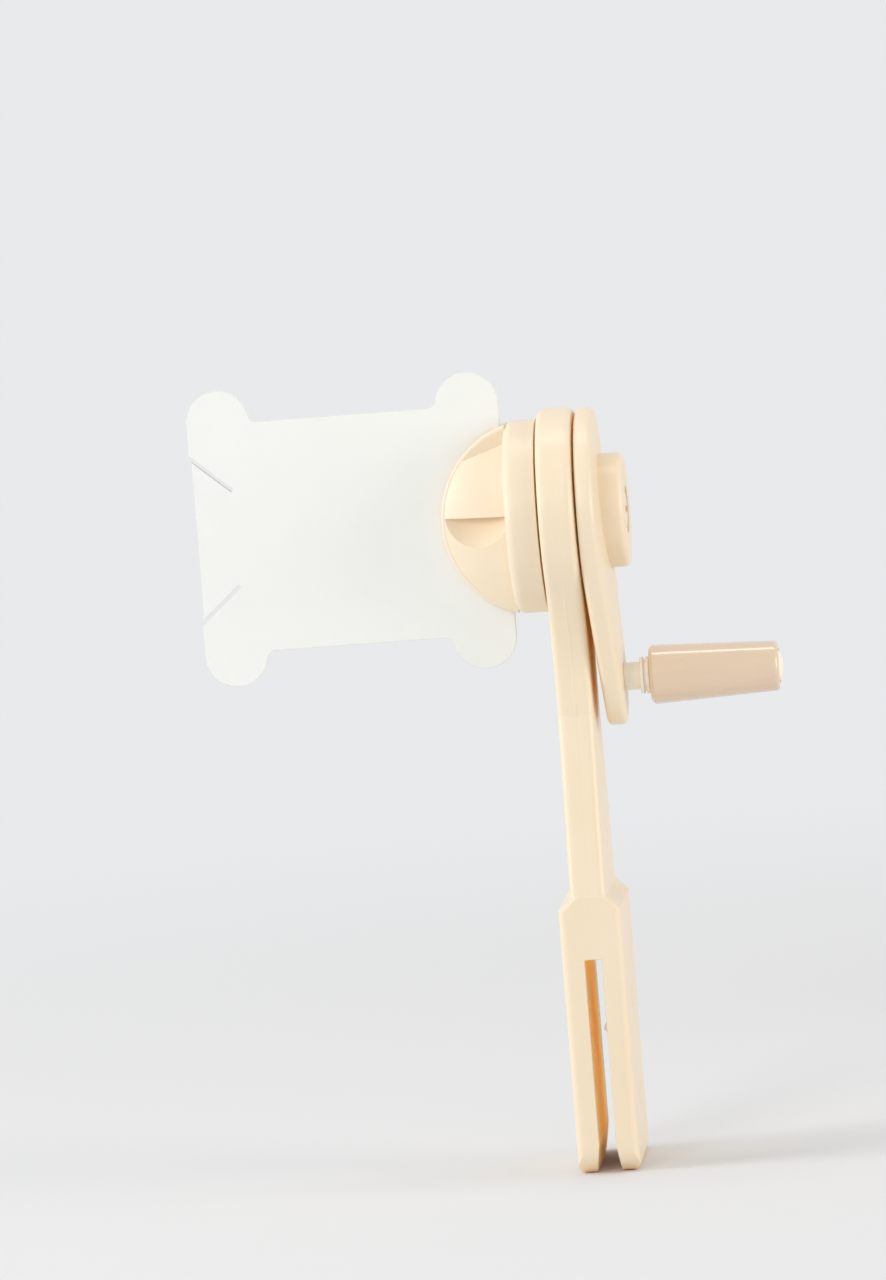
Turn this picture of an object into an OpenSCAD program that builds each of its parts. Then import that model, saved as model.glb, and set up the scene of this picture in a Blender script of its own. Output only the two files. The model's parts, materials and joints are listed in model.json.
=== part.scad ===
// Floss bobbin winder: a clip-on stand, a hand crank and a chuck that grips a flat floss bobbin.
// The axle lies along X, from the chuck to the knob, and Z points up the stand.
// The origin is the middle of the closed end of the clip slot, where the rim of a box wall seats.

/* [Stand] */
// Thickness of the bar and of the round head, along the axle
stand_t = 4.4; // [3.4:0.1:7]
// Width of the bar below the head, front to back
bar_w = 13; // [8:0.5:18]
// Height over which the bar flares out to the width of the clip
flare_h = 22; // [10:1:30]
// Radius of the round bearing head
head_r = 13; // [11:0.5:18]
// Height of the axle above the closed end of the clip slot
axle_h = 53.8; // [45:0.2:80]
// Rounding of the long edges of the stand
edge_r = 0.9; // [0.3:0.1:1.4]
// Radius of the hollow curve that runs the bar into the head
web_r = 24; // [12:1:40]
// Radius of the raised thrust ring round the bearing bore
thrust_r = 5.4; // [4.4:0.1:7]
// Height of the thrust ring on each face of the head
thrust_h = 0.15; // [0.1:0.05:1]

/* [Clip] */
// Thickness of the clip over both tines
clip_t = 7.6; // [6.5:0.1:12]
// Width of the clip, front to back
clip_w = 20; // [14:0.5:26]
// Width of the slot that takes the box wall
slot_w = 2.1; // [1.2:0.1:3.4]
// Depth of the slot, from its closed end to the tips of the tines
slot_depth = 26.4; // [18:0.2:40]
// Height of the solid crown above the slot
crown_h = 6; // [3:0.2:9]
// Height of the sloping shoulder between the crown and the bar
shoulder_h = 1.4; // [0.8:0.1:3]
// Rounding of the upright corners of the clip
clip_edge_r = 1; // [0.4:0.1:2]
// Rounding of the outer corners at the tips of the tines, seen from the front
tip_r = 1.1; // [0.4:0.1:1.6]
// Rounding of the lower corners of the tines, seen from the side
heel_r = 3; // [1:0.5:5]
// Height of the flared mouth of the slot
mouth_h = 3.6; // [1.5:0.1:6]
// Widening of the mouth on each side of the slot
mouth_flare = 0.5; // [0.3:0.1:1.4]
// Drop of the grip rib below the closed end of the slot
rib_drop = 8.6; // [4:0.2:12]
// Radius of the half-round grip rib on one wall of the slot
rib_r = 0.4; // [0.2:0.05:0.6]

/* [Chuck] */
// Step from the rim of the bearing head in to the rim of the base disc
rim_step = 1.2; // [0.6:0.1:2.5]
// Thickness of the base disc
disc_t = 3.9; // [3:0.1:6]
// Rounding of the rim of the base disc, on the side of the jaws
rim_r = 1.1; // [0.3:0.1:1.5]
// Reach of the jaws beyond the base disc
jaw_reach = 8.4; // [7.5:0.1:12]
// Step from the rim of the disc in to the outline of the jaws
jaw_inset = 0.3; // [0.2:0.1:1]
// Thickness of each jaw plate beside the slot
jaw_t = 2.2; // [1.6:0.1:3.5]
// Rounding of the outer edge of the jaw plates
jaw_edge_r = 0.4; // [0.2:0.1:1]
// Rise of the domed pad on each jaw
pad_rise = 3.8; // [2.8:0.1:5]
// Height of the straight top edge of the pad at the base disc
pad_top = 9.3; // [7:0.1:9.8]
// Fall of that edge towards the tip of the jaw, in degrees
pad_fall = 19; // [5:1:25]
// Lead-in chamfer on the inner edges of the jaws
lead_in = 0.6; // [0.3:0.1:1]
// Height of the lip of the thumbnail scoop above the axle line
lip_h = 0.6; // [0.2:0.1:2]
// Radius of the scoop
scoop_r = 6.5; // [5:0.1:8]
// Depth of the scoop under the domed pad
scoop_depth = 2; // [1:0.1:2.4]
// Height of the middle of the scoop above its lip
scoop_rise = 1.2; // [0:0.1:2]
// Distance of the middle of the scoop from the base disc
scoop_reach = 5.6; // [4:0.1:6.5]

/* [Axle] */
// Radius of the axle in the bearing bore
axle_r = 3; // [2.4:0.1:4]
// Radius of the keyed ends of the axle
key_r = 2.5; // [1.9:0.1:2.9]
// Distance from the axle line to the flat of the key
key_flat = 1.8; // [1.3:0.1:2.2]
// Depth of the keyed socket in the base disc
socket_depth = 2.2; // [1.4:0.1:2.4]
// Radius of the snap head that holds the crank on
snap_r = 2.85; // [2.6:0.05:3.2]
// Length of the snap head
snap_l = 1.2; // [0.8:0.1:1.8]
// Radius of the leading end of the snap head
snap_tip_r = 2; // [1.6:0.1:2.5]
// Width of the split in the snap head
split_w = 0.7; // [0.4:0.1:1]
// Length of the split
split_l = 4; // [2.5:0.1:5]

/* [Crank] */
// Throw of the crank, from the axle to the handle pin
crank_throw = 20.5; // [17:0.1:28]
// Step from the rim of the bearing head in to the rim of the hub
hub_step = 0.2; // [0:0.1:2]
// Radius of the pin end of the arm
arm_end_r = 5.8; // [4.5:0.1:8]
// Thickness of the arm at the top of the hub
hub_t = 2.2; // [1.8:0.1:4]
// Thickness of the arm at the pin
arm_t = 2.4; // [1.8:0.1:4]
// Amount by which the pin end of the arm is set out from the bar
arm_set = 1.1; // [0.4:0.1:2]
// Rounding of the edges of the arm
arm_edge_r = 0.7; // [0.3:0.1:1.1]
// Radius of the boss round the axle
boss_r = 7; // [5.5:0.1:9]
// Height of the boss over the top of the hub
boss_h = 3.2; // [2.6:0.1:5]

/* [Handle] */
// Length of the knob
knob_l = 15.8; // [12:0.1:24]
// Radius of the knob at the crank
knob_r_in = 3.65; // [3.2:0.05:6]
// Radius of the knob at its outer end
knob_r_out = 3.05; // [2.9:0.05:5]
// Rounding of the outer end of the knob
knob_end_r = 0.55; // [0.2:0.05:0.6]
// Bevel of the inner end of the knob
knob_bevel = 0.4; // [0.2:0.05:0.6]
// Length of the neck between the arm and the knob
neck_l = 3.1; // [2.5:0.1:6]
// Radius of the neck
neck_r = 1.7; // [1.5:0.1:2.4]
// Radius of the collar that the knob runs against
collar_r = 2.25; // [2.1:0.05:3]
// Thickness of the collar
collar_t = 1.1; // [0.8:0.1:1.6]
// Width of the groove round the collar
groove_w = 0.3; // [0.15:0.05:0.5]
// Depth of that groove
groove_d = 0.3; // [0.15:0.05:0.4]
// Radius of the pin inside the knob
pin_r = 1.4; // [1.1:0.05:1.45]
// Radius of the snap head that holds the knob on
pin_head_r = 1.85; // [1.7:0.05:2]
// Length of that head
pin_head_l = 1.5; // [1.1:0.1:2]
// Wall of the knob round the recess for the pin head
recess_wall = 0.9; // [0.6:0.05:1]
// Depth of that recess, which the head stands a little proud of
recess_d = 1.1; // [0.8:0.1:1.6]

/* [Bobbin] */
// Length of the bobbin along the axle line
bobbin_l = 38.4; // [30:0.2:50]
// Width of the bobbin over its ears
bobbin_w = 36.4; // [28:0.2:44]
// Thickness of the bobbin
bobbin_t = 1; // [0.6:0.1:1.4]
// Radius of the round ears
ear_r = 3.85; // [3:0.05:4.5]
// Drop from the tips of the ears to the waist
waist_drop = 4.1; // [2.5:0.1:5]
// Radius of the fillet between each ear and the waist
waist_fillet = 1.2; // [0.6:0.1:2]
// Radius of the hole in the top bar
bobbin_hole_r = 2.8; // [1.8:0.1:3]
// Distance of each thread slit from the middle of the bottom edge
slit_place = 10.2; // [7:0.1:12]
// Length of the thread slits
slit_l = 6.4; // [4:0.1:8]
// Width of the thread slits
slit_w = 0.45; // [0.3:0.05:0.8]
// Angle of the slits to the length of the bobbin, in degrees
slit_angle = 41; // [25:1:55]
// Step of the bottom edge between the slits
tongue_step = 0.25; // [0.1:0.05:0.6]

/* [Fits] */
// Radial clearance of a shaft that turns in a bore
run_gap = 0.07; // [0.03:0.01:0.1]
// Clearance round a keyed or pressed seat
seat_gap = 0.02; // [0.01:0.01:0.04]
// End play of a turning piece, and the gap behind a seated end
end_gap = 0.1; // [0.06:0.02:0.2]
// Clearance on each face of the bobbin in the jaws
card_gap = 0.06; // [0.04:0.01:0.1]
// Gap between the seated edge of the bobbin and the base disc
card_stop = 0.5; // [0.1:0.1:1]

/* [Hidden] */
$fn = 72;
cream = [0.95, 0.88, 0.76];
card_white = [0.95, 0.95, 0.93];

// Small overlap that fuses two shapes of one piece
fuse = 0.2;
// Amount by which a fillet arc crosses the lines it joins, so that it meets neither at a bare tangent
bite = 0.03;
// Thickness of the slices that a tapering length is stretched between
skin = 0.2;
// A length past every outline of the part, for cuts that go right through
past = 2 * (axle_h + slot_depth + head_r);

// Faces along the axle, from the chuck to the knob
disc_x1 = -(stand_t / 2 + thrust_h + end_gap);
disc_x0 = disc_x1 - disc_t;
hub_x0 = stand_t / 2 + thrust_h + end_gap;
boss_x1 = hub_x0 + hub_t + boss_h;
snap_x0 = boss_x1 - snap_l - end_gap;
arm_x0 = hub_x0 + arm_set;
arm_x1 = arm_x0 + arm_t;
collar_x1 = arm_x1 + neck_l;
knob_x0 = collar_x1 + end_gap;
knob_x1 = knob_x0 + knob_l;
pin_z = axle_h - crank_throw;

// Rims that follow the bearing head
chuck_r = head_r - rim_step;
hub_r = head_r - hub_step;

// Outline circle of the jaws: through their tip and the inset edge of the base disc
jaw_half = chuck_r - jaw_inset;
jaw_r = (jaw_reach * jaw_reach + jaw_half * jaw_half) / (2 * jaw_reach);
jaw_x = disc_x0 - jaw_reach + jaw_r;
jaw_y = bobbin_t / 2 + card_gap;
jaw_back = jaw_y + jaw_t;
pad_edge = jaw_r - jaw_edge_r;
pad_r = (pad_edge * pad_edge + pad_rise * pad_rise) / (2 * pad_rise);

// Recess in the outer end of the knob, and the wall that the pin head catches behind
recess_r = knob_r_out - recess_wall;
recess_x0 = knob_x1 - recess_d;
pin_end_x = recess_x0 + end_gap + pin_head_l;

bobbin_x1 = disc_x0 - card_stop;
waist_half = bobbin_w / 2 - waist_drop;
ear_mid = bobbin_w / 2 - ear_r;

// Round bar along X at height z, from x0 to x1
module rod(r, x0, x1, z = axle_h) {
    translate([x0, 0, z]) rotate([0, 90, 0]) cylinder(r = r, h = x1 - x0);
}

// Profile of (radius, x) points turned about a line along X at height z
module turned(z = axle_h) {
    translate([0, 0, z]) rotate([0, 90, 0]) rotate_extrude() children();
}

// Outline of (y, z) points made solid from x0 to x1
module side_plate(x0, x1) {
    translate([x0, 0, 0]) rotate([90, 0, 90]) linear_extrude(x1 - x0) children();
}

// Outline of (x, z) points made solid over a width w about the middle plane
module front_plate(w) {
    rotate([90, 0, 0]) linear_extrude(w, center = true) children();
}

// Rectangle with round corners, centred on the origin
module round_rect(w, d, r) {
    square([w - 2 * r, d], center = true);
    square([w, d - 2 * r], center = true);
    for (sx = [-1, 1], sy = [-1, 1])
        translate([sx * (w / 2 - r), sy * (d / 2 - r)]) circle(r);
}

// Profile of a disc from x0 to x1 with both outer edges rounded, for turned()
module disc_profile(r, x0, x1, e) {
    translate([0, x0]) square([r - e, x1 - x0]);
    translate([0, x0 + e]) square([r, x1 - x0 - 2 * e]);
    for (x = [x0 + e, x1 - e]) translate([r - e, x]) circle(e);
}

// Profile of a disc from x0 to x1 with only the outer edge at x1 rounded, for turned()
module cap_profile(r, x0, x1, e) {
    translate([0, x0]) square([r - e, x1 - x0]);
    translate([0, x0]) square([r, x1 - x0 - e]);
    translate([r - e, x1 - e]) circle(e);
}

// Fillet of radius f between a circle of radius r on the origin and the line a distance d beside the Y axis
module circle_fillet(r, d, f) {
    reach = sqrt(pow(r + f, 2) - pow(d + f, 2));
    inside = d - f / 2;
    difference() {
        polygon([[0, 0], [inside, 0], [inside, -reach], [d + f, -reach]]);
        translate([d + f, -reach]) circle(f + bite);
    }
}

// Keyed bar: round with one flat below the axle line, grown by a clearance g when it cuts a socket
module keyed_rod(x0, x1, g = 0) {
    intersection() {
        rod(key_r + g, x0, x1);
        translate([x0, -2 * key_r, axle_h - key_flat - g]) cube([x1 - x0, 4 * key_r, 4 * key_r]);
    }
}

// Thin slice at height z, with round corners
module slice(z, t, w, r) {
    translate([0, 0, z]) linear_extrude(skin) round_rect(t, w, r, $fn = 48);
}

// Front outline of the clip, without its slot
module clip_outline() {
    foot = -slot_depth + tip_r;
    translate([-clip_t / 2, foot]) square([clip_t, crown_h - foot + fuse]);
    translate([-clip_t / 2 + tip_r, -slot_depth]) square([clip_t - 2 * tip_r, tip_r]);
    for (s = [-1, 1]) translate([s * (clip_t / 2 - tip_r), foot]) circle(tip_r);
}

// Slot for the box wall, square at its closed end and flared at its mouth
module slot_outline() {
    mouth_z = -slot_depth + mouth_h;
    open_w = slot_w / 2 + mouth_flare;
    translate([-slot_w / 2, -slot_depth - fuse]) square([slot_w, slot_depth + fuse]);
    polygon([
        [-slot_w / 2, mouth_z], [slot_w / 2, mouth_z], [open_w, -slot_depth],
        [open_w, -slot_depth - fuse], [-open_w, -slot_depth - fuse], [-open_w, -slot_depth]
    ]);
}

// Side outline of the clip, with rounded heels
module clip_side() {
    heel_z = -slot_depth + heel_r;
    translate([-clip_w / 2, heel_z]) square([clip_w, crown_h - heel_z + fuse]);
    translate([-clip_w / 2 + heel_r, -slot_depth]) square([clip_w - 2 * heel_r, heel_r]);
    for (s = [-1, 1]) translate([s * (clip_w / 2 - heel_r), heel_z]) circle(heel_r);
}

// Forked clip with its grip rib
module clip() {
    rib_l = clip_w - 2 * clip_edge_r;
    difference() {
        intersection() {
            translate([0, 0, -slot_depth]) linear_extrude(slot_depth + crown_h + fuse)
                round_rect(clip_t, clip_w, clip_edge_r);
            front_plate(clip_w) clip_outline();
            side_plate(-clip_t / 2, clip_t / 2) clip_side();
        }
        front_plate(past) slot_outline();
    }
    translate([slot_w / 2, rib_l / 2, -rib_drop]) rotate([90, 0, 0]) cylinder(r = rib_r, h = rib_l);
}

// Bar: a shoulder on the clip, a flare that narrows front to back, and a straight length up to the axle
module bar() {
    flare_z = crown_h + shoulder_h;
    hull() {
        slice(crown_h, clip_t, clip_w, clip_edge_r);
        slice(flare_z, stand_t, clip_w, edge_r);
    }
    hull() {
        slice(flare_z, stand_t, clip_w, edge_r);
        slice(flare_z + flare_h, stand_t, bar_w, edge_r);
    }
    translate([0, 0, flare_z + flare_h]) linear_extrude(axle_h - flare_z - flare_h)
        round_rect(stand_t, bar_w, edge_r);
}

// Hollow curve with rounded edges that runs one side of the bar into the head
module web() {
    side = bar_w / 2 + web_r;
    reach = sqrt(pow(head_r + web_r, 2) - pow(side, 2));
    inner_r = web_r + bite;
    flat_t = stand_t - 2 * edge_r;
    intersection() {
        side_plate(-stand_t / 2, stand_t / 2)
            translate([0, axle_h]) polygon([[0, 0], [0, -reach], [side, -reach]]);
        translate([0, side, 0]) turned(axle_h - reach) {
            translate([inner_r, -flat_t / 2]) square([side, flat_t]);
            translate([inner_r + edge_r, -stand_t / 2]) square([side, stand_t]);
            for (s = [-1, 1]) translate([inner_r + edge_r, s * flat_t / 2]) circle(edge_r);
        }
    }
}

// Stand: bearing head, flared bar and forked clip in one moulding
module stand() {
    color(cream) difference() {
        union() {
            turned() disc_profile(head_r, -stand_t / 2, stand_t / 2, edge_r);
            rod(thrust_r, -stand_t / 2 - thrust_h, stand_t / 2 + thrust_h);
            bar();
            for (s = [0, 1]) mirror([0, s, 0]) web();
            clip();
        }
        rod(axle_r + run_gap, -past, past);
    }
}

// Front jaw: a round plate beside the slot with a domed pad, and a thumbnail scoop cut in the pad
module jaw() {
    lip_z = axle_h + lip_h;
    scoop_x = disc_x0 - scoop_reach;
    // Height of the dome over the plate where the scoop is deepest
    dome_h = sqrt(pad_r * pad_r - pow(jaw_x - scoop_x, 2)) - pad_r + pad_rise;
    difference() {
        intersection() {
            union() {
                translate([jaw_x, 0, axle_h]) rotate([90, 0, 0]) rotate_extrude() difference() {
                    cap_profile(jaw_r, jaw_y, jaw_back, jaw_edge_r);
                    translate([jaw_r, jaw_y]) rotate(45) square(lead_in * sqrt(2), center = true);
                }
                intersection() {
                    translate([jaw_x, pad_r - pad_rise - jaw_back, axle_h]) sphere(pad_r, $fn = 96);
                    translate([-past, -past - jaw_back + fuse, 0]) cube([past + jaw_x, past, past]);
                    translate([disc_x0, 0, axle_h + pad_top]) rotate([0, -pad_fall, 0])
                        translate([-past, -past, -past]) cube([2 * past, 2 * past, past]);
                }
            }
            translate([disc_x0 + fuse - past, -past, 0]) cube([past, 2 * past, past]);
        }
        intersection() {
            translate([scoop_x, -jaw_back - dome_h + scoop_depth - scoop_r, lip_z + scoop_rise])
                sphere(scoop_r);
            translate([-past, -past, lip_z - past]) cube([2 * past, 2 * past, past]);
        }
    }
}

// Chuck: base disc with two domed jaws, a slot between them and a keyed socket behind
module bobbin_chuck() {
    color(cream) difference() {
        union() {
            turned() mirror([0, 1]) cap_profile(chuck_r, -disc_x1, -disc_x0, rim_r);
            for (turn = [0, 180])
                translate([0, 0, axle_h]) rotate([turn, 0, 0]) translate([0, 0, -axle_h]) jaw();
        }
        keyed_rod(disc_x1 - socket_depth, disc_x1 + fuse, seat_gap);
    }
}

// Axle: journal between two keyed ends, with a split snap head at the crank
module drive_axle() {
    color(cream) difference() {
        union() {
            keyed_rod(disc_x1 - socket_depth + end_gap, disc_x1 + fuse);
            rod(axle_r, disc_x1, hub_x0);
            keyed_rod(hub_x0 - fuse, snap_x0);
            turned() polygon([
                [0, snap_x0], [snap_r, snap_x0], [snap_tip_r, snap_x0 + snap_l], [0, snap_x0 + snap_l]
            ]);
        }
        translate([snap_x0 + snap_l - split_l, -past / 2, axle_h - split_w / 2]) cube([past, past, split_w]);
    }
}

// Tapered link: the round hub end and the smaller pin end, set out from the bar, joined by straight sides
module arm_link() {
    hull() {
        turned(axle_h, $fn = 64) disc_profile(hub_r, hub_x0, hub_x0 + hub_t, arm_edge_r, $fn = 16);
        turned(pin_z, $fn = 64) disc_profile(arm_end_r, arm_x0, arm_x1, arm_edge_r, $fn = 16);
    }
}

// Crank: tapered arm with a hub and boss, keyed to the axle and bored for the handle pin
module crank_arm() {
    boss_edge_r = min(arm_edge_r, boss_h / 3);
    color(cream) difference() {
        union() {
            arm_link();
            turned() cap_profile(boss_r, hub_x0 + hub_t - fuse, boss_x1, boss_edge_r);
        }
        keyed_rod(hub_x0 - fuse, boss_x1 + fuse, seat_gap);
        rod(snap_r + end_gap, snap_x0 - end_gap / 2, boss_x1 + fuse);
        rod(pin_r + seat_gap, hub_x0 - fuse, arm_x1 + fuse, pin_z);
    }
}

// Handle pin: seat in the arm, neck, grooved collar, journal and domed snap head
module handle_pin() {
    groove_x = collar_x1 - collar_t / 2 - groove_w / 2;
    color(cream) turned(pin_z) difference() {
        union() {
            translate([0, arm_x0]) square([pin_r, recess_x0 + end_gap + fuse - arm_x0]);
            translate([0, arm_x1]) square([neck_r, neck_l]);
            translate([0, collar_x1 - collar_t]) square([collar_r, collar_t]);
            intersection() {
                translate([0, recess_x0 + end_gap]) square([pin_head_r, pin_head_l]);
                translate([0, pin_end_x - 2 * pin_head_r]) circle(2 * pin_head_r);
            }
        }
        translate([collar_r - groove_d, groove_x]) square([groove_d + fuse, groove_w]);
    }
}

// Knob: tapered sleeve with a running bore, and a recess that the pin head snaps into
module handle_knob() {
    taper = (knob_r_in - knob_r_out) / knob_l;
    slope = atan(taper);
    end_x = knob_x1 - knob_end_r;
    end_r = knob_r_in - taper * (end_x - knob_x0) - knob_end_r / cos(slope);
    color(cream) turned(pin_z) difference() {
        union() {
            polygon([
                [0, knob_x0], [knob_r_in - knob_bevel, knob_x0], [knob_r_in, knob_x0 + knob_bevel],
                [end_r + knob_end_r * cos(slope), end_x + knob_end_r * sin(slope)],
                [end_r, knob_x1], [0, knob_x1]
            ]);
            translate([end_r, end_x]) circle(knob_end_r);
        }
        square([pin_r + run_gap, knob_x1 + fuse]);
        translate([0, recess_x0]) square([recess_r, recess_d + fuse]);
    }
}

// Bobbin outline: the top bar starts at length 0 and the slits open in the bottom edge
module bobbin_outline() {
    difference() {
        union() {
            translate([0, -ear_mid]) square([2 * ear_r, 2 * ear_mid]);
            translate([bobbin_l - 2 * ear_r, -ear_mid]) square([2 * ear_r, 2 * ear_mid]);
            translate([0, -waist_half]) square([bobbin_l, 2 * waist_half]);
            for (end = [0, 1], side = [0, 1])
                translate([bobbin_l / 2, 0]) mirror([end, 0]) mirror([0, side])
                    translate([ear_r - bobbin_l / 2, ear_mid]) {
                        circle(ear_r);
                        rotate(90) circle_fillet(ear_r, waist_half - ear_mid, waist_fillet);
                    }
        }
        translate([ear_r, 0]) circle(bobbin_hole_r);
        translate([bobbin_l - tongue_step, -slit_place]) square([2 * tongue_step, 2 * slit_place]);
        for (side = [0, 1]) mirror([0, side]) translate([bobbin_l, slit_place]) rotate(180 + slit_angle) {
            translate([-slit_l, -slit_w / 2]) square([2 * slit_l, slit_w]);
            translate([slit_l, 0]) circle(slit_w / 2);
        }
    }
}

// Bobbin: flat white card held between the jaws
module floss_bobbin() {
    color(card_white) translate([bobbin_x1, 0, axle_h]) mirror([1, 0, 0])
        front_plate(bobbin_t) bobbin_outline();
}

stand();
bobbin_chuck();
drive_axle();
crank_arm();
handle_pin();
handle_knob();
floss_bobbin();
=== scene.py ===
"""Looks of a clip-on floss bobbin winder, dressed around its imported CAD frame.

Objects are in metres, in the frame's own axes: +Z up the stand, +X along the axle to the knob.
"""

import json
import logging
import math
from dataclasses import dataclass
from enum import Enum

import bmesh
import bpy
from mathutils import Matrix, Vector


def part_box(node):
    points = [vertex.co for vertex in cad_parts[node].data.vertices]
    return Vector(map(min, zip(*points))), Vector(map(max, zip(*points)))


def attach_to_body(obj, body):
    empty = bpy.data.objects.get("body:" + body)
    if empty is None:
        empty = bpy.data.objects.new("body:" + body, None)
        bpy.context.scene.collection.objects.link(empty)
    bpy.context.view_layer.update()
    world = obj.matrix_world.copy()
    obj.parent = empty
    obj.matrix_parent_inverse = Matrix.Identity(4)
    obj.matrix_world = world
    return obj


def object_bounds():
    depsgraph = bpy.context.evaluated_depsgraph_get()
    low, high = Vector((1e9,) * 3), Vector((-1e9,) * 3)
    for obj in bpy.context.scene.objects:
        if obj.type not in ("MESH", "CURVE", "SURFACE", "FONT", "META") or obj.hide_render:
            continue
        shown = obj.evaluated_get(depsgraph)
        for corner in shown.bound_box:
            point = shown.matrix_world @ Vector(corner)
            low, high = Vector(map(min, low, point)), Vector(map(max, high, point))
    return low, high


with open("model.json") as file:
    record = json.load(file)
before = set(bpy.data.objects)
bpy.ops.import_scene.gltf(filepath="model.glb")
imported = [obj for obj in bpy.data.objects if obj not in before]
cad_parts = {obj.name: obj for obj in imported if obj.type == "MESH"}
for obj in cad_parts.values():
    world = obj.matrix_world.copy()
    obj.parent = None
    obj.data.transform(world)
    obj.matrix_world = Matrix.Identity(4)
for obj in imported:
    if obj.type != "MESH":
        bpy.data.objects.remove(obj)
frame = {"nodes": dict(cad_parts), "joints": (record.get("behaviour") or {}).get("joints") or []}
CAD_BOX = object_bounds()

LOG = logging.getLogger("bobbin_winder")
MM = 0.001
IMAGE_HEIGHT_PX = 1280

Colour = tuple[float, float, float]
Span = tuple[float, float]
Setting = float | int | bool | str | tuple[float, ...]
Socket = bpy.types.NodeSocket
Spot = tuple[Vector, Vector]  # a point on a surface, and the surface's normal there

UNIT: Span = (0.0, 1.0)


class Body(Enum):
    """CAD bodies that pieces ride on."""

    STAND = "stand"
    CRANK = "crank"
    KNOB = "knob"
    BOBBIN = "bobbin"


class Slot(Enum):
    """Material slots of the record."""

    CREAM = "cream_moulding"
    KNOB = "knob_moulding"
    CARD = "bobbin_card"


class Side(Enum):
    """Sides of the stand, by the sign of X."""

    LEFT = -1
    RIGHT = 1


class Rim(Enum):
    """Ends of the chuck's rim, by the sign of Z."""

    LOWER = -1
    UPPER = 1


class Rule(Enum):
    """Ways to combine two values in a node tree."""

    GREATER = "MAXIMUM"
    PRODUCT = "MULTIPLY"


class Tone(Enum):
    """Linear colours of the plastics and the studio, including painted shade colours for gaps and
    slots.
    """

    CREAM_FACE = (0.880, 0.735, 0.535)
    CREAM_PALE = (0.894, 0.758, 0.570)
    # The next colour is painted warm shade, blended into the cream where a point sits in a gap or
    # slot.
    CREAM_PAINTED_SHADE = (1.000, 0.650, 0.390)
    # The pin is paler than the rest of the cream; part of that paleness is painted light that
    # offsets the shade of the arm and knob on its neck.
    PIN_FACE = (0.955, 0.890, 0.755)
    PIN_PALE = (0.960, 0.905, 0.785)
    # The knob is a browner cream than the rest; part of that brownness is painted shade.
    KNOB_FACE = (0.750, 0.573, 0.403)
    KNOB_PALE = (0.766, 0.595, 0.428)
    CARD_FACE = (0.872, 0.888, 0.853)
    CARD_PALE = (0.894, 0.907, 0.880)
    # The next colour is painted grey shade, blended into the bobbin's sheltered edges.
    CARD_PAINTED_SHADE = (0.700, 0.690, 0.640)
    FLOOR = (0.785, 0.790, 0.800)
    BACKDROP = (0.815, 0.820, 0.830)
    WHITE = (1.000, 1.000, 1.000)

    @property
    def rgba(self) -> tuple[float, float, float, float]:
        """The colour with full opacity."""
        return (*self.value, 1.0)


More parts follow.
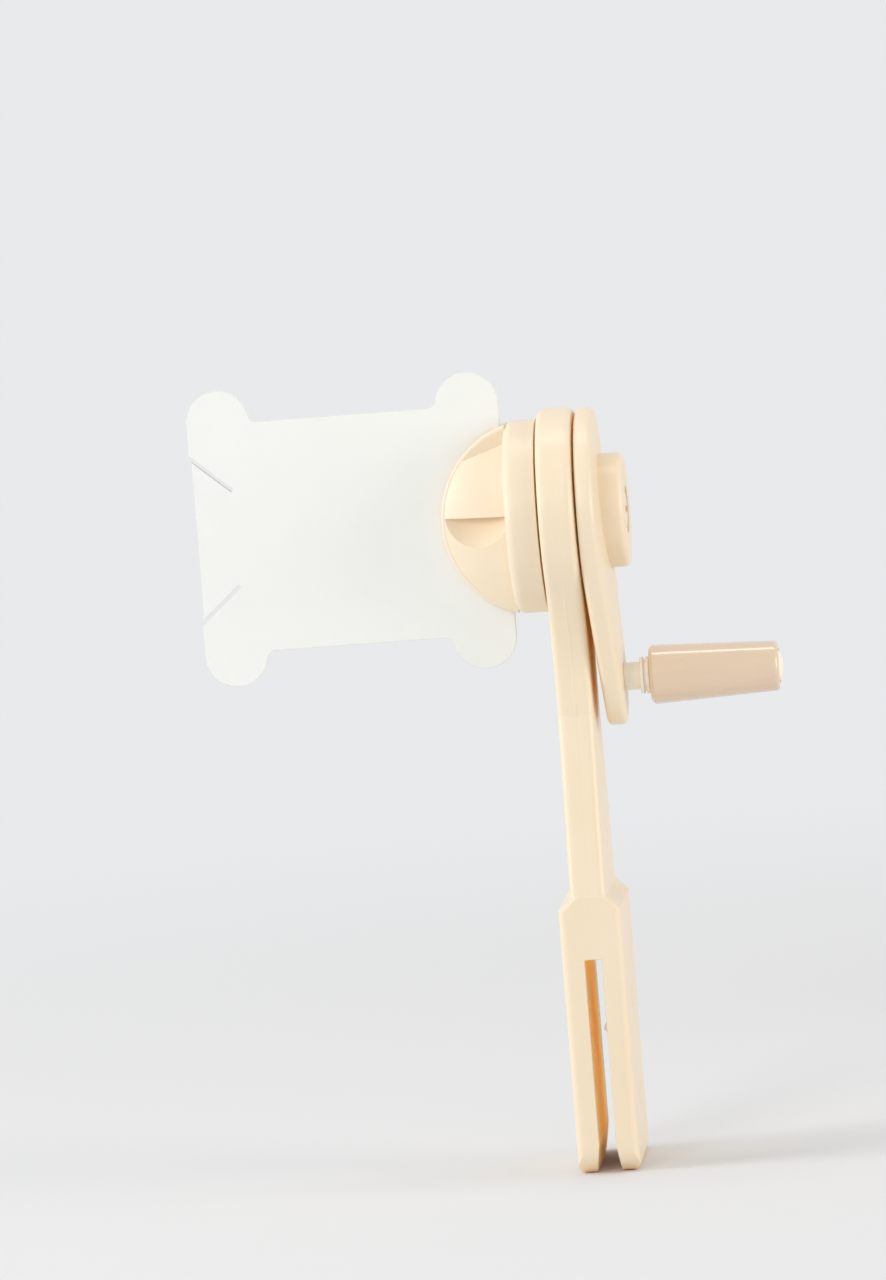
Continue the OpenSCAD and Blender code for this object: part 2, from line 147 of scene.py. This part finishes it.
class NodeBoard:
    """A node tree with short calls that add nodes and join their sockets."""

    noise_roughness = 0.6

    def __init__(self, tree: bpy.types.NodeTree) -> None:
        """Keeps the tree that nodes are added to."""
        self.tree = tree

    def add(self, kind: str, inputs: dict[str | int, Setting] | None = None, **options: Setting
            ) -> bpy.types.Node:
        """Adds a node.

        Args:
            kind: Node type without its "ShaderNode" prefix.
            inputs: Values for input sockets, by socket name or number.
            options: Properties of the node itself.

        Returns:
            The new node.
        """
        node = self.tree.nodes.new(f"ShaderNode{kind}")
        for name, value in options.items():
            setattr(node, name, value)
        self.fill(node, inputs or {})
        return node

    @staticmethod
    def fill(node: bpy.types.Node, inputs: dict[str | int, Setting]) -> None:
        """Sets fixed values on input sockets of a node, by socket name or number."""
        for key, value in inputs.items():
            node.inputs[key].default_value = value

    def join(self, source: Socket, target: Socket) -> None:
        """Links an output socket to an input socket."""
        self.tree.links.new(source, target)

    def noise(self, coords: Socket, size: float, detail: float) -> Socket:
        """Adds a noise of a real size.

        Args:
            coords: Socket with coordinates in metres.
            size: Size of the largest blotches, in metres.
            detail: Number of finer octaves.

        Returns:
            The noise's value socket, about 0.3 to 0.7.
        """
        inputs = {"Scale": 1 / size, "Detail": detail, "Roughness": self.noise_roughness}
        node = self.add("TexNoise", inputs)
        self.join(coords, node.inputs["Vector"])
        return node.outputs["Fac"]

    def span(self, value: Socket, source: Span, target: Span) -> Socket:
        """Maps a value smoothly from one clamped range to another.

        Args:
            value: Socket to map.
            source: Range of the value.
            target: Range of the result, whose first end may be the greater.

        Returns:
            The mapped value's socket.
        """
        inputs = {"From Min": source[0], "From Max": source[1],
                  "To Min": target[0], "To Max": target[1]}
        node = self.add("MapRange", inputs, interpolation_type="SMOOTHSTEP")
        self.join(value, node.inputs["Value"])
        return node.outputs["Result"]

    def blend(self, share: Socket, first: Socket | Tone, second: Tone) -> Socket:
        """Mixes two colours.

        Args:
            share: Socket with the share of the second colour.
            first: Colour, or colour socket, at share 0.
            second: Colour at share 1.

        Returns:
            The mixed colour's socket.
        """
        node = self.add("Mix", data_type="RGBA")
        self.join(share, node.inputs["Factor"])
        if isinstance(first, Tone):
            node.inputs["A"].default_value = first.rgba
        else:
            self.join(first, node.inputs["A"])
        node.inputs["B"].default_value = second.rgba
        return node.outputs["Result"]

    def lift(self, share: Socket, first: Socket, second: float) -> Socket:
        """Moves a value towards a fixed one.

        Args:
            share: Socket with the share of the fixed value.
            first: Value socket at share 0.
            second: Value at share 1.

        Returns:
            The mixed value's socket.
        """
        node = self.add("Mix", {"B": second})
        self.join(share, node.inputs["Factor"])
        self.join(first, node.inputs["A"])
        return node.outputs["Result"]

    def combine(self, rule: Rule, first: Socket, second: Socket) -> Socket:
        """Combines two values.

        Args:
            rule: How they combine.
            first: One value socket.
            second: The other.

        Returns:
            The result's socket.
        """
        node = self.add("Math", operation=rule.value)
        self.join(first, node.inputs[0])
        self.join(second, node.inputs[1])
        return node.outputs[0]

    def mix_shaders(self, share: Socket, first: Socket, second: Socket) -> Socket:
        """Mixes two shaders.

        Args:
            share: Socket with the share of the second shader.
            first: Shader socket at share 0.
            second: Shader socket at share 1.

        Returns:
            The mixed shader's socket.
        """
        node = self.add("MixShader")
        for source, name in ((share, "Fac"), (first, 1), (second, 2)):
            self.join(source, node.inputs[name])
        return node.outputs[0]

    def seen(self) -> Socket:
        """Tells rays that show a surface from rays that only light others.

        Returns:
            A socket that is 1 for camera, glossy and transmission rays.
        """
        path = self.add("LightPath")
        total = path.outputs["Is Camera Ray"]
        for name in ("Is Glossy Ray", "Is Transmission Ray"):
            total = self.combine(Rule.GREATER, total, path.outputs[name])
        return total


@dataclass(frozen=True)
class PlasticFinish:
    """A moulded or sheet plastic: mottled colour, painted warm shade in crevices, fine grain, soft
    edges.

    Lengths are in metres. The occlusion mask that paints the shade also turns up scattering, so
    light scatters through the plastic most in a piece's own slots, and less in the gaps between
    pieces.
    """

    name: str
    face: Tone
    pale: Tone
    # Painted shade colour, for gaps and slots.
    painted_shade_colour: Tone
    mottle_size: float = 14 * MM
    mottle_detail: float = 6.0
    mottle_range: Span = (0.2, 0.8)
    gloss: Span = (0.29, 0.35)
    gloss_size: float = 9 * MM
    gloss_detail: float = 1.0
    gloss_range: Span = (0.25, 0.75)
    refraction: float = 1.49
    polish: float = 0.0
    polish_gloss: float = 0.15
    polish_refraction: float = 1.6
    grain_size: float = 0.9 * MM
    grain_detail: float = 2.0
    grain_depth: float = 0.004 * MM
    grain_strength: float = 0.1
    edge_round: float = 0.16 * MM
    edge_samples: int = 6
    # The crevice fields below set an occlusion mask that paints warm shade into gaps and slots,
    # and that also roughens them and turns up scattering there.
    crevice_reach: float = 6 * MM
    crevice_range: Span = (0.14, 0.46)
    crevice_samples: int = 16
    crevice_shade_share: float = 1.0
    crevice_gloss: float = 0.9
    crevice_scatter: float = 1.0
    gap_scatter: float = 0.4
    scatter_depth: float = 75 * MM
    scatter_tint: Colour = (1.0, 0.20, 0.12)

    def make(self) -> bpy.types.Material:
        """Builds the material's nodes.

        Returns:
            The new material.
        """
        material = bpy.data.materials.new(self.name)
        material.use_nodes = True
        board = NodeBoard(material.node_tree)
        shader = material.node_tree.nodes["Principled BSDF"]
        coords = board.add("TexCoord").outputs["Object"]
        colour, gloss = self._colour(board, coords), self._gloss(board, coords)
        if self.crevice_shade_share:
            painted_shade_mask, own = self._depth(board, own=False), self._depth(board, own=True)
            # Painted warm shade: the colour turns to the shade colour where the occlusion mask
            # finds a gap or slot.
            colour = board.blend(painted_shade_mask, colour, self.painted_shade_colour)
            gloss = board.lift(painted_shade_mask, gloss, self.crevice_gloss)
            slot_glow = board.span(own, UNIT, (0.0, self.crevice_scatter))
            gap_glow = board.span(painted_shade_mask, UNIT, (0.0, self.gap_scatter))
            glow = board.combine(Rule.GREATER, slot_glow, gap_glow)
            board.join(glow, shader.inputs["Subsurface Weight"])
        board.join(colour, shader.inputs["Base Color"])
        board.join(gloss, shader.inputs["Roughness"])
        board.join(self._relief(board, coords), shader.inputs["Normal"])
        board.fill(shader, {
            "IOR": self.refraction,
            "Coat Weight": self.polish,
            "Coat Roughness": self.polish_gloss,
            "Coat IOR": self.polish_refraction,
            "Subsurface Radius": self.scatter_tint,
            "Subsurface Scale": self.scatter_depth,
        })
        return material

    def _colour(self, board: NodeBoard, coords: Socket) -> Socket:
        """Mottled face colour.

        Args:
            board: Tree to add to.
            coords: Coordinates in metres.

        Returns:
            The colour's socket.
        """
        blotches = board.noise(coords, self.mottle_size, self.mottle_detail)
        return board.blend(board.span(blotches, self.mottle_range, UNIT), self.face, self.pale)

    def _gloss(self, board: NodeBoard, coords: Socket) -> Socket:
        """Roughness that wanders between two values, as handling leaves it.

        Args:
            board: Tree to add to.
            coords: Coordinates in metres.

        Returns:
            The roughness socket.
        """
        blotches = board.noise(coords, self.gloss_size, self.gloss_detail)
        return board.span(blotches, self.gloss_range, self.gloss)

    def _depth(self, board: NodeBoard, own: bool) -> Socket:
        """How sheltered a point is in a gap or slot, by ambient occlusion; it masks the painted
        shade and the scattering.

        Args:
            board: Tree to add to.
            own: Whether only the piece's own faces count, and no neighbour.

        Returns:
            A socket that grows to the crevice share.
        """
        shelter = board.add("AmbientOcclusion", {"Distance": self.crevice_reach},
                            samples=self.crevice_samples, only_local=own)
        return board.span(shelter.outputs["AO"], self.crevice_range, (self.crevice_shade_share, 0.0))

    def _relief(self, board: NodeBoard, coords: Socket) -> Socket:
        """Fine grain of the mould over softened edges.

        Args:
            board: Tree to add to.
            coords: Coordinates in metres.

        Returns:
            The normal's socket.
        """
        bump = board.add("Bump", {"Strength": self.grain_strength, "Distance": self.grain_depth})
        grain = board.noise(coords, self.grain_size, self.grain_detail)
        board.join(grain, bump.inputs["Height"])
        if self.edge_round:
            soft = board.add("Bevel", {"Radius": self.edge_round}, samples=self.edge_samples)
            board.join(soft.outputs["Normal"], bump.inputs["Normal"])
        return bump.outputs["Normal"]


CREAM = PlasticFinish("cream_moulded_plastic", Tone.CREAM_FACE, Tone.CREAM_PALE, Tone.CREAM_PAINTED_SHADE)
CREAM_FLASH = PlasticFinish("cream_mould_flash", Tone.CREAM_FACE, Tone.CREAM_PALE, Tone.CREAM_PAINTED_SHADE,
                            edge_round=0.0, crevice_shade_share=0.0)
PIN_CREAM = PlasticFinish("pin_moulded_plastic", Tone.PIN_FACE, Tone.PIN_PALE, Tone.CREAM_PAINTED_SHADE,
                          mottle_size=5 * MM, crevice_shade_share=0.25)
KNOB_CREAM = PlasticFinish("knob_moulded_plastic", Tone.KNOB_FACE, Tone.KNOB_PALE, Tone.CREAM_PAINTED_SHADE,
                           mottle_size=9 * MM, gloss=(0.21, 0.26), polish=1.0, crevice_shade_share=0.6)
CARD_WHITE = PlasticFinish("white_sheet_plastic", Tone.CARD_FACE, Tone.CARD_PALE, Tone.CARD_PAINTED_SHADE,
                           mottle_size=11 * MM, gloss=(0.48, 0.60), edge_round=0.12 * MM,
                           crevice_reach=1.6 * MM, crevice_shade_share=0.35, crevice_scatter=0.1,
                           gap_scatter=0.1, scatter_tint=(1.0, 0.95, 0.85))


def bridge(draft: bmesh.types.BMesh, rings: list[list[bmesh.types.BMVert]], closed: bool) -> None:
    """Joins each ring of points to the next with faces.

    Args:
        draft: Mesh draft to add to.
        rings: Rings of equally many points.
        closed: Whether the last ring joins the first.
    """
    pairs = list(zip(rings, rings[1:]))
    if closed:
        pairs.append((rings[-1], rings[0]))
    for ring, after in pairs:
        for i, point in enumerate(ring):
            j = (i + 1) % len(ring)
            draft.faces.new((point, ring[j], after[j], after[i]))


def mesh_piece(name: str, draft: bmesh.types.BMesh) -> bpy.types.Object:
    """Turns a draft into an object with outward normals, smooth on its four-sided faces.

    Args:
        name: Name of the object.
        draft: Mesh draft, which is freed.

    Returns:
        The object, linked to the scene.
    """
    bmesh.ops.recalc_face_normals(draft, faces=draft.faces)
    for face in draft.faces:
        face.smooth = len(face.verts) == 4
    mesh = bpy.data.meshes.new(name)
    draft.to_mesh(mesh)
    draft.free()
    piece = bpy.data.objects.new(name, mesh)
    bpy.context.scene.collection.objects.link(piece)
    return piece


@dataclass(frozen=True)
class Seam:
    """The fine ridge that two halves of a mould leave.

    Its profile is a parabola that crosses the surface at half the width to either side and runs
    on below it, then drops to the sink depth.
    """

    width: float = 0.2 * MM
    height: float = 0.012 * MM
    sink: float = 0.05 * MM
    profile_step: float = 0.25
    profile_reach: int = 6

    def sweep(self, name: str, path: list[Spot], across: Vector, closed: bool) -> bpy.types.Object:
        """Sweeps the profile along a path on a surface; an open ridge sinks at its ends.

        Args:
            name: Name of the new piece.
            path: Points on the surface, with its normals.
            across: Direction across the ridge.
            closed: Whether the path returns to its start.

        Returns:
            The ridge, a closed mesh.
        """
        profile = self._profile()
        if not closed:
            ends = (0, len(path) - 1)
            path = [(point - normal * self.sink if i in ends else point, normal)
                    for i, (point, normal) in enumerate(path)]
        draft = bmesh.new()
        rings = [[draft.verts.new(point + across * side + normal * rise) for side, rise in profile]
                 for point, normal in path]
        bridge(draft, rings, closed)
        if not closed:
            draft.faces.new(rings[0])
            draft.faces.new(rings[-1])
        return mesh_piece(name, draft)

    def _profile(self) -> list[Span]:
        """Profile of the ridge.

        Returns:
            Offsets across the ridge and above the surface, from side to side.
        """
        steps = range(-self.profile_reach, self.profile_reach + 1)
        shares = [step * self.profile_step for step in steps]
        crown = [(self.width / 2 * share, self.height * (1 - share * share)) for share in shares]
        return [(crown[0][0], -self.sink), *crown, (crown[-1][0], -self.sink)]


@dataclass(frozen=True)
class WitnessMark:
    """The shallow ring that an ejector pin leaves on a moulding."""

    radius: float = 1.5 * MM
    width: float = 0.22 * MM
    height: float = 0.04 * MM
    sink: float = 0.05 * MM
    steps: int = 48

    def stamp(self, name: str, places: list[Vector], normal: Vector) -> bpy.types.Object:
        """Turns one ring at each place.

        Args:
            name: Name of the new piece, which holds all the rings.
            places: Centres on the surface.
            normal: Surface normal at all of them.

        Returns:
            The rings, each a closed mesh.
        """
        foot, crown = self.width / 2, self.width / 4
        profile = [(self.radius - foot, -self.sink), (self.radius - crown, self.height),
                   (self.radius + crown, self.height), (self.radius + foot, -self.sink)]
        first = normal.orthogonal().normalized()
        second = normal.cross(first)
        draft = bmesh.new()
        for place in places:
            rings = []
            for step in range(self.steps):
                turn = math.tau * step / self.steps
                ray = first * math.cos(turn) + second * math.sin(turn)
                rings.append([draft.verts.new(place + ray * r + normal * h) for r, h in profile])
            bridge(draft, rings, closed=True)
        return mesh_piece(name, draft)


def arc(centre: Vector, radius: float, start: float, end: float, step: float = 4.0) -> list[Spot]:
    """Points on an arc in the plane across the axle.

    Args:
        centre: Centre of the arc.
        radius: Its radius.
        start: First angle from +Y towards +Z, in degrees.
        end: Last angle.
        step: Largest angle between two points.

    Returns:
        Pairs of a point and the ray from the centre to it, of unit length.
    """
    count = max(2, math.ceil(abs(end - start) / step))
    found = []
    for i in range(count + 1):
        turn = math.radians(start + (end - start) * i / count)
        ray = Vector((0.0, math.cos(turn), math.sin(turn)))
        found.append((centre + ray * radius, ray))
    return found


def dress(node: str, material: bpy.types.Material) -> None:
    """Gives a CAD node its finish.

    Args:
        node: Name of the node.
        material: Finish for all its faces.
    """
    mesh = frame["nodes"][node].data
    mesh.materials.clear()
    mesh.materials.append(material)
    LOG.info("dressed %s with %s", node, material.name)


def attach(piece: bpy.types.Object, body: Body, material: bpy.types.Material) -> None:
    """Gives a new piece its finish and its body.

    Args:
        piece: The piece.
        body: Body that it moves with.
        material: Its finish.
    """
    piece.data.materials.append(material)
    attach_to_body(piece, body.value)
    LOG.info("built %s on %s", piece.name, body.value)


def joint_place(name: str) -> Vector:
    """Position of a hinge of the frame.

    Args:
        name: Name of the joint.

    Returns:
        A point on its axis.
    """
    return Vector(next(joint["pos_m"] for joint in frame["joints"] if joint["name"] == name))


@dataclass
class Stand:
    """Bearing head, bar and forked clip, with the marks of their mould."""

    bar_depth: float = 13 * MM
    bar_thickness: float = 4.4 * MM
    clip_depth: float = 20 * MM
    flare_foot: float = 7.6 * MM
    flare_height: float = 22 * MM
    flare_ease: float = 0.02
    web_radius: float = 24 * MM
    seam_foot: float = 0.5 * MM
    seam_fade: float = 0.8 * MM
    bend_round: float = 0.4 * MM
    bar_marks: tuple[float, ...] = (14 * MM, 30 * MM)
    clip_marks: tuple[float, ...] = (-6 * MM, -18 * MM)

    def build(self, material: bpy.types.Material, flash: bpy.types.Material) -> None:
        """Dresses the stand and adds its seam and ejector marks.

        Args:
            material: Cream plastic.
            flash: Cream plastic of fine ridges.
        """
        dress("stand", material)
        attach(self._seam(), Body.STAND, flash)
        for side in Side:
            attach(self._marks(side), Body.STAND, flash)

    def _marks(self, side: Side) -> bpy.types.Object:
        """Ejector rings on one side of the bar and the clip.

        Args:
            side: Side that they are on.

        Returns:
            The rings.
        """
        bar_face, clip_face = self.bar_thickness / 2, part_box("stand")[1].x
        places = [Vector((side.value * bar_face, 0, z)) for z in self.bar_marks]
        places += [Vector((side.value * clip_face, 0, z)) for z in self.clip_marks]
        name = f"stand_ejector_marks_{side.name.lower()}"
        return WitnessMark().stamp(name, places, Vector((side.value, 0, 0)))

    def _seam(self) -> bpy.types.Object:
        """Ridge up the front of the stand, over the head and down the back.

        Returns:
            The ridge.
        """
        axle = joint_place("crank_turn")
        head_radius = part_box("stand")[1].y
        bar, clip = self.bar_depth / 2, self.clip_depth / 2
        web_y = bar + self.web_radius
        drop = math.sqrt((head_radius + self.web_radius) ** 2 - web_y ** 2)
        lean = math.degrees(math.atan2(drop, web_y))
        forward = Vector((0, -1, 0))
        sloping = Vector((0, -self.flare_height, clip - bar)).normalized()
        foot = Vector((0, -clip, self.seam_foot))
        bend = Vector((0, -clip, self.flare_foot))
        rise = Vector((0, clip - bar, self.flare_height))
        half = [
            (foot, forward),
            (foot + Vector((0, 0, self.seam_fade)), forward),
            (bend - Vector((0, 0, self.bend_round)), forward),
            (bend + rise * self.flare_ease, sloping),
            (bend + rise * (1 - self.flare_ease), sloping),
        ]
        web_centre = Vector((0, -web_y, axle.z - drop))
        half += [(point, -ray) for point, ray in arc(web_centre, self.web_radius, 0, lean)]
        half += arc(axle, head_radius, 180 + lean, 90)[1:]
        back = Matrix.Diagonal((1, -1, 1))
        path = half + [(back @ point, back @ normal) for point, normal in reversed(half[:-1])]
        return Seam().sweep("stand_seam", path, Vector((1, 0, 0)), closed=False)


@dataclass
class Crank:
    """Chuck, axle, arm and handle pin, which turn together."""

    hub_thickness: float = 2.2 * MM
    arm_set: float = 1.1 * MM
    arm_thickness: float = 2.4 * MM
    end_radius: float = 5.8 * MM
    rim_round: float = 1.1 * MM
    disc_thickness: float = 3.9 * MM
    seam_fade: float = 0.5 * MM

    def build(self, material: bpy.types.Material, pin: bpy.types.Material,
              flash: bpy.types.Material) -> None:
        """Dresses the turning pieces and adds the seams of the arm and the chuck.

        Args:
            material: Cream plastic.
            pin: Plastic of the handle pin.
            flash: Cream plastic of fine ridges.
        """
        for node in ("bobbin_chuck", "drive_axle", "crank_arm"):
            dress(node, material)
        dress("handle_pin", pin)
        attach(self._arm_seam(), Body.CRANK, flash)
        for rim in Rim:
            attach(self._chuck_seam(rim), Body.CRANK, flash)

    def _arm_seam(self) -> bpy.types.Object:
        """Ridge round the edge of the arm, half way through its thickness.

        Returns:
            The ridge.
        """
        axle, pin = joint_place("crank_turn"), joint_place("knob_spin")
        low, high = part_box("crank_arm")
        hub_radius = high.y
        hub = Vector((low.x + self.hub_thickness / 2, 0, axle.z))
        end = Vector((low.x + self.arm_set + self.arm_thickness / 2, 0, pin.z))
        lean = math.degrees(math.asin((hub_radius - self.end_radius) / (axle.z - pin.z)))
        path = arc(hub, hub_radius, 180 + lean, -lean)
        path += arc(end, self.end_radius, -lean, lean - 180)
        return Seam().sweep("arm_seam", path, Vector((1, 0, 0)), closed=True)

    def _chuck_seam(self, rim: Rim) -> bpy.types.Object:
        """Short ridge across the rim of the chuck's disc.

        Args:
            rim: End of the rim that it is on.

        Returns:
            The ridge.
        """
        low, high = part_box("bobbin_chuck")
        edge = {Rim.LOWER: low.z, Rim.UPPER: high.z}[rim]
        start = high.x - self.disc_thickness + self.rim_round
        reach = (start, start + self.seam_fade, high.x - self.seam_fade, high.x)
        path = [(Vector((x, 0, edge)), Vector((0, 0, rim.value))) for x in reach]
        name = f"chuck_seam_{rim.name.lower()}"
        return Seam().sweep(name, path, Vector((0, 1, 0)), closed=False)


@dataclass
class Knob:
    """Tapered turning knob."""

    node: str = "handle_knob"

    def build(self, material: bpy.types.Material) -> None:
        """Dresses the knob in its plastic."""
        dress(self.node, material)


@dataclass
class Bobbin:
    """Flat white bobbin between the jaws."""

    node: str = "floss_bobbin"

    def build(self, material: bpy.types.Material) -> None:
        """Dresses the bobbin in its sheet plastic."""
        dress(self.node, material)


@dataclass(frozen=True)
class Viewpoint:
    """Where the photograph was taken from, with angles in degrees."""

    azimuth: float = 5.0
    elevation: float = 5.0
    roll: float = 4.65
    distance: float = 1000 * MM
    target: tuple[float, float, float] = (-15.94 * MM, 0.0, 39.42 * MM)
    pixels_per_mm: float = 8.157

    def build(self) -> None:
        """Makes the scene's camera."""
        turn, rise, roll = map(math.radians, (self.azimuth, self.elevation, self.roll))
        back = Vector((math.sin(turn) * math.cos(rise), -math.cos(turn) * math.cos(rise),
                       math.sin(rise)))
        right = Vector((math.cos(turn), math.sin(turn), 0.0))
        up = back.cross(right)
        tilted_right = right * math.cos(roll) - up * math.sin(roll)
        tilted_up = right * math.sin(roll) + up * math.cos(roll)
        axes = Matrix((tilted_right, tilted_up, back)).transposed().to_4x4()
        place = Matrix.Translation(Vector(self.target) + back * self.distance)
        data = bpy.data.cameras.new("photo_camera")
        focal_px = self.pixels_per_mm * self.distance / MM
        data.lens = focal_px / IMAGE_HEIGHT_PX * data.sensor_width
        camera = bpy.data.objects.new("photo_camera", data)
        camera.matrix_world = place @ axes
        bpy.context.scene.collection.objects.link(camera)
        bpy.context.scene.camera = camera


@dataclass(frozen=True)
class Softbox:
    """A rectangular lamp with even, soft light."""

    name: str
    place: tuple[float, float, float]
    size: tuple[float, float]
    watts: float
    colour: Colour = Tone.WHITE.value

    def build(self, aim: Vector) -> None:
        """Makes the lamp.

        Args:
            aim: Point that it faces.
        """
        data = bpy.data.lights.new(self.name, "AREA")
        data.shape = "RECTANGLE"
        data.size, data.size_y = self.size
        data.energy = self.watts
        data.color = self.colour
        lamp = bpy.data.objects.new(self.name, data)
        lamp.location = self.place
        lamp.rotation_mode = "QUATERNION"
        lamp.rotation_quaternion = (aim - lamp.location).to_track_quat("-Z", "Y")
        bpy.context.scene.collection.objects.link(lamp)


@dataclass
class Studio:
    """Pale paper floor, even surroundings and soft lamps."""

    floor_radius: float = 3.0
    floor_segments: int = 96
    fade: Span = (0.10, 0.40)
    paper_size: float = 20 * MM
    paper_detail: float = 3.0
    paper_range: Span = (0.35, 0.65)
    paper_tint: float = 0.03
    paper_gloss: float = 0.9
    ambient: float = 0.63
    lamps: tuple[Softbox, ...] = (
        Softbox("key_softbox", (-0.34, -0.85, 0.42), (0.30, 0.30), 1.5),
        Softbox("left_softbox", (-1.05, -0.18, 0.28), (0.36, 0.40), 3.6),
        Softbox("right_softbox", (1.00, -0.35, 0.22), (0.50, 0.50), 3.9, (1.0, 0.92, 0.80)),
        Softbox("top_strip", (0.0, 0.06, 0.78), (0.50, 0.08), 0.75),
        Softbox("dome_softbox", (-0.54, -0.08, 0.60), (0.34, 0.34), 0.75),
    )

    def build(self) -> None:
        """Makes the floor, the world and the lamps."""
        bpy.context.scene.view_settings.view_transform = "Standard"
        self._world()
        self._floor()
        aim = (CAD_BOX[0] + CAD_BOX[1]) / 2
        for lamp in self.lamps:
            lamp.build(aim)

    def _world(self) -> None:
        """Even light all round, with a pale backdrop where it is seen."""
        world = bpy.data.worlds.new("studio_world")
        world.use_nodes = True
        bpy.context.scene.world = world
        board = NodeBoard(world.node_tree)
        light = world.node_tree.nodes["Background"]
        board.fill(light, {"Color": Tone.WHITE.rgba, "Strength": self.ambient})
        backdrop = board.add("Background", {"Color": Tone.BACKDROP.rgba, "Strength": 1.0})
        mix = board.mix_shaders(board.seen(), light.outputs[0], backdrop.outputs[0])
        board.join(mix, world.node_tree.nodes["World Output"].inputs["Surface"])

    def _floor(self) -> None:
        """Round floor under the tines."""
        draft = bmesh.new()
        bmesh.ops.create_circle(draft, cap_ends=True, radius=self.floor_radius,
                                segments=self.floor_segments)
        floor = mesh_piece("studio_floor", draft)
        floor.location.z = CAD_BOX[0].z
        floor.data.materials.append(self._paper())

    def _paper(self) -> bpy.types.Material:
        """Pale paper, which fades into the backdrop away from the object.

        Returns:
            The floor's material.
        """
        material = bpy.data.materials.new("floor_paper")
        material.use_nodes = True
        board = NodeBoard(material.node_tree)
        shader = material.node_tree.nodes["Principled BSDF"]
        coords = board.add("TexCoord").outputs["Object"]
        fibres = board.noise(coords, self.paper_size, self.paper_detail)
        tint = board.span(fibres, self.paper_range, (0.0, self.paper_tint))
        board.join(board.blend(tint, Tone.FLOOR, Tone.BACKDROP), shader.inputs["Base Color"])
        board.fill(shader, {"Roughness": self.paper_gloss})
        length = board.add("VectorMath", operation="LENGTH")
        board.join(coords, length.inputs[0])
        away = board.span(length.outputs["Value"], self.fade, UNIT)
        share = board.combine(Rule.PRODUCT, away, board.seen())
        glow = board.add("Emission", {"Color": Tone.BACKDROP.rgba, "Strength": 1.0})
        mix = board.mix_shaders(share, shader.outputs[0], glow.outputs[0])
        board.join(mix, material.node_tree.nodes["Material Output"].inputs["Surface"])
        return material


def main() -> None:
    """Builds the studio and each sub-assembly in order."""
    logging.basicConfig(level=logging.INFO, format="%(name)s: %(message)s")
    Viewpoint().build()
    Studio().build()
    cream, flash = CREAM.make(), CREAM_FLASH.make()
    Stand().build(cream, flash)
    Crank().build(cream, PIN_CREAM.make(), flash)
    Knob().build(KNOB_CREAM.make())
    Bobbin().build(CARD_WHITE.make())


if __name__ == "__main__":
    main()
